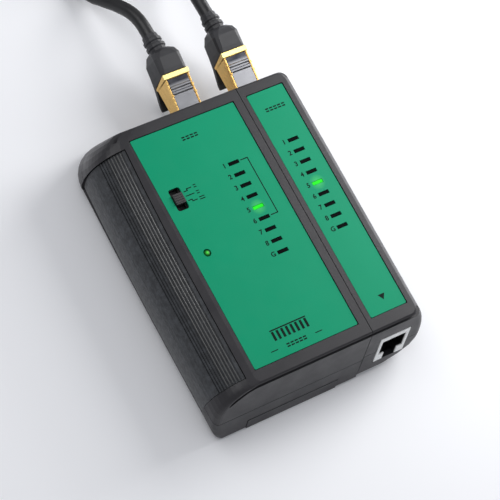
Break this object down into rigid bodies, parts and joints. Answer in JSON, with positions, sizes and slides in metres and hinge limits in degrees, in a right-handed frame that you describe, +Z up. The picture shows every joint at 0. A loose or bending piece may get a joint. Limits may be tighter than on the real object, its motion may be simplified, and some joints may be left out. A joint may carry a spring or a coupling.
{
  "type": "network cable tester",
  "caption": "Handheld network cable tester: a main unit with a docked remote, sequence lamps, a slide switch and a short patch lead between their sockets.",
  "frame": {"origin": "middle of the tester's footprint, on the surface it lies on, with the patch lead left out", "axes": "+X to the right across the faceplates, +Y towards the end that takes the patch lead, +Z up out of the faceplates"},
  "size_m": [0.1079, 0.2706, 0.0341],
  "materials": {
    "housing": "fine-grained dark charcoal ABS",
    "grip": "soft-touch, pebbled, with fine lengthwise ribs",
    "faceplate": "satin green overlay with black printing",
    "board": "green solder mask",
    "socket": "white moulded",
    "contact_gold": "gold-flashed spring wire",
    "lamp_dark": "smoked indicator window, unlit",
    "lamp_lit": "green indicator, lit",
    "black_plastic": "black moulded",
    "knob": "dark grey moulded",
    "battery_jacket": "plain printed steel jacket",
    "wire_red": "PVC insulation",
    "wire_black": "PVC insulation",
    "steel": "zinc-plated",
    "plug_metal": "polished gold-plated shield",
    "plug_plastic": "smoked polycarbonate",
    "boot": "black moulded boot",
    "cable_jacket": "black PVC jacket"
  },
  "bodies": {
    "main": {"main_top_cover": "housing", "main_bottom_shell": "housing", "dock_rail": "housing", "side_grip": "grip", "main_faceplate": "faceplate", "main_circuit_board": "board", "main_socket": "socket", "main_socket_contacts": "contact_gold", "main_led_1": "lamp_dark", "main_led_2": "lamp_dark", "main_led_3": "lamp_dark", "main_led_4": "lamp_dark", "main_led_5": "lamp_lit", "main_led_6": "lamp_dark", "main_led_7": "lamp_dark", "main_led_8": "lamp_dark", "main_led_g": "lamp_dark", "power_led": "lamp_lit", "slide_switch_body": "black_plastic", "controller_chip": "black_plastic", "battery_9v": "battery_jacket", "battery_snap": "black_plastic", "battery_wire_red": "wire_red", "battery_wire_black": "wire_black", "main_screw_1": "steel", "main_screw_2": "steel", "main_screw_3": "steel", "main_screw_4": "steel"},
    "remote": {"remote_top_cover": "housing", "remote_bottom_shell": "housing", "remote_faceplate": "faceplate", "remote_circuit_board": "board", "remote_near_socket": "socket", "remote_near_contacts": "contact_gold", "remote_far_socket": "socket", "remote_far_contacts": "contact_gold", "remote_led_1": "lamp_dark", "remote_led_2": "lamp_dark", "remote_led_3": "lamp_dark", "remote_led_4": "lamp_dark", "remote_led_5": "lamp_lit", "remote_led_6": "lamp_dark", "remote_led_7": "lamp_dark", "remote_led_8": "lamp_dark", "remote_led_g": "lamp_dark", "remote_screw_1": "steel", "remote_screw_2": "steel", "dock_channel": "housing"},
    "battery_door": {"battery_door": "housing"},
    "switch_knob": {"switch_knob": "knob"},
    "lead_end_a": {"plug_a_shield": "plug_metal", "plug_a_body": "plug_plastic", "plug_a_boot": "boot", "lead_tail_a": "cable_jacket", "lead_coil": "cable_jacket"},
    "lead_end_b": {"plug_b_shield": "plug_metal", "plug_b_body": "plug_plastic", "plug_b_boot": "boot", "lead_tail_b": "cable_jacket"}
  },
  "joints": [
    {"name": "remote_slide", "type": "slide", "parent": "main", "child": "remote", "axis": [0, -1, 0], "range_m": [0, 0.11]},
    {"name": "battery_door_slide", "type": "slide", "parent": "main", "child": "battery_door", "axis": [0, -1, 0], "range_m": [0, 0.075]},
    {"name": "switch_slide", "type": "slide", "parent": "main", "child": "switch_knob", "axis": [0, 1, 0], "range_m": [-0.0025, 0.0025]},
    {"name": "lead_unplug", "type": "slide", "parent": "main", "child": "lead_end_a", "axis": [0, 0.9703, 0.2419], "range_m": [0, 0.025]},
    {"name": "lead_reach", "type": "slide", "parent": "lead_end_a", "child": "lead_end_b", "axis": [0, -1, 0], "range_m": [0, 0.11]}
  ],
  "couplings": [
    {"joint": "lead_reach", "follows": "remote_slide", "ratio": 1}
  ]
}
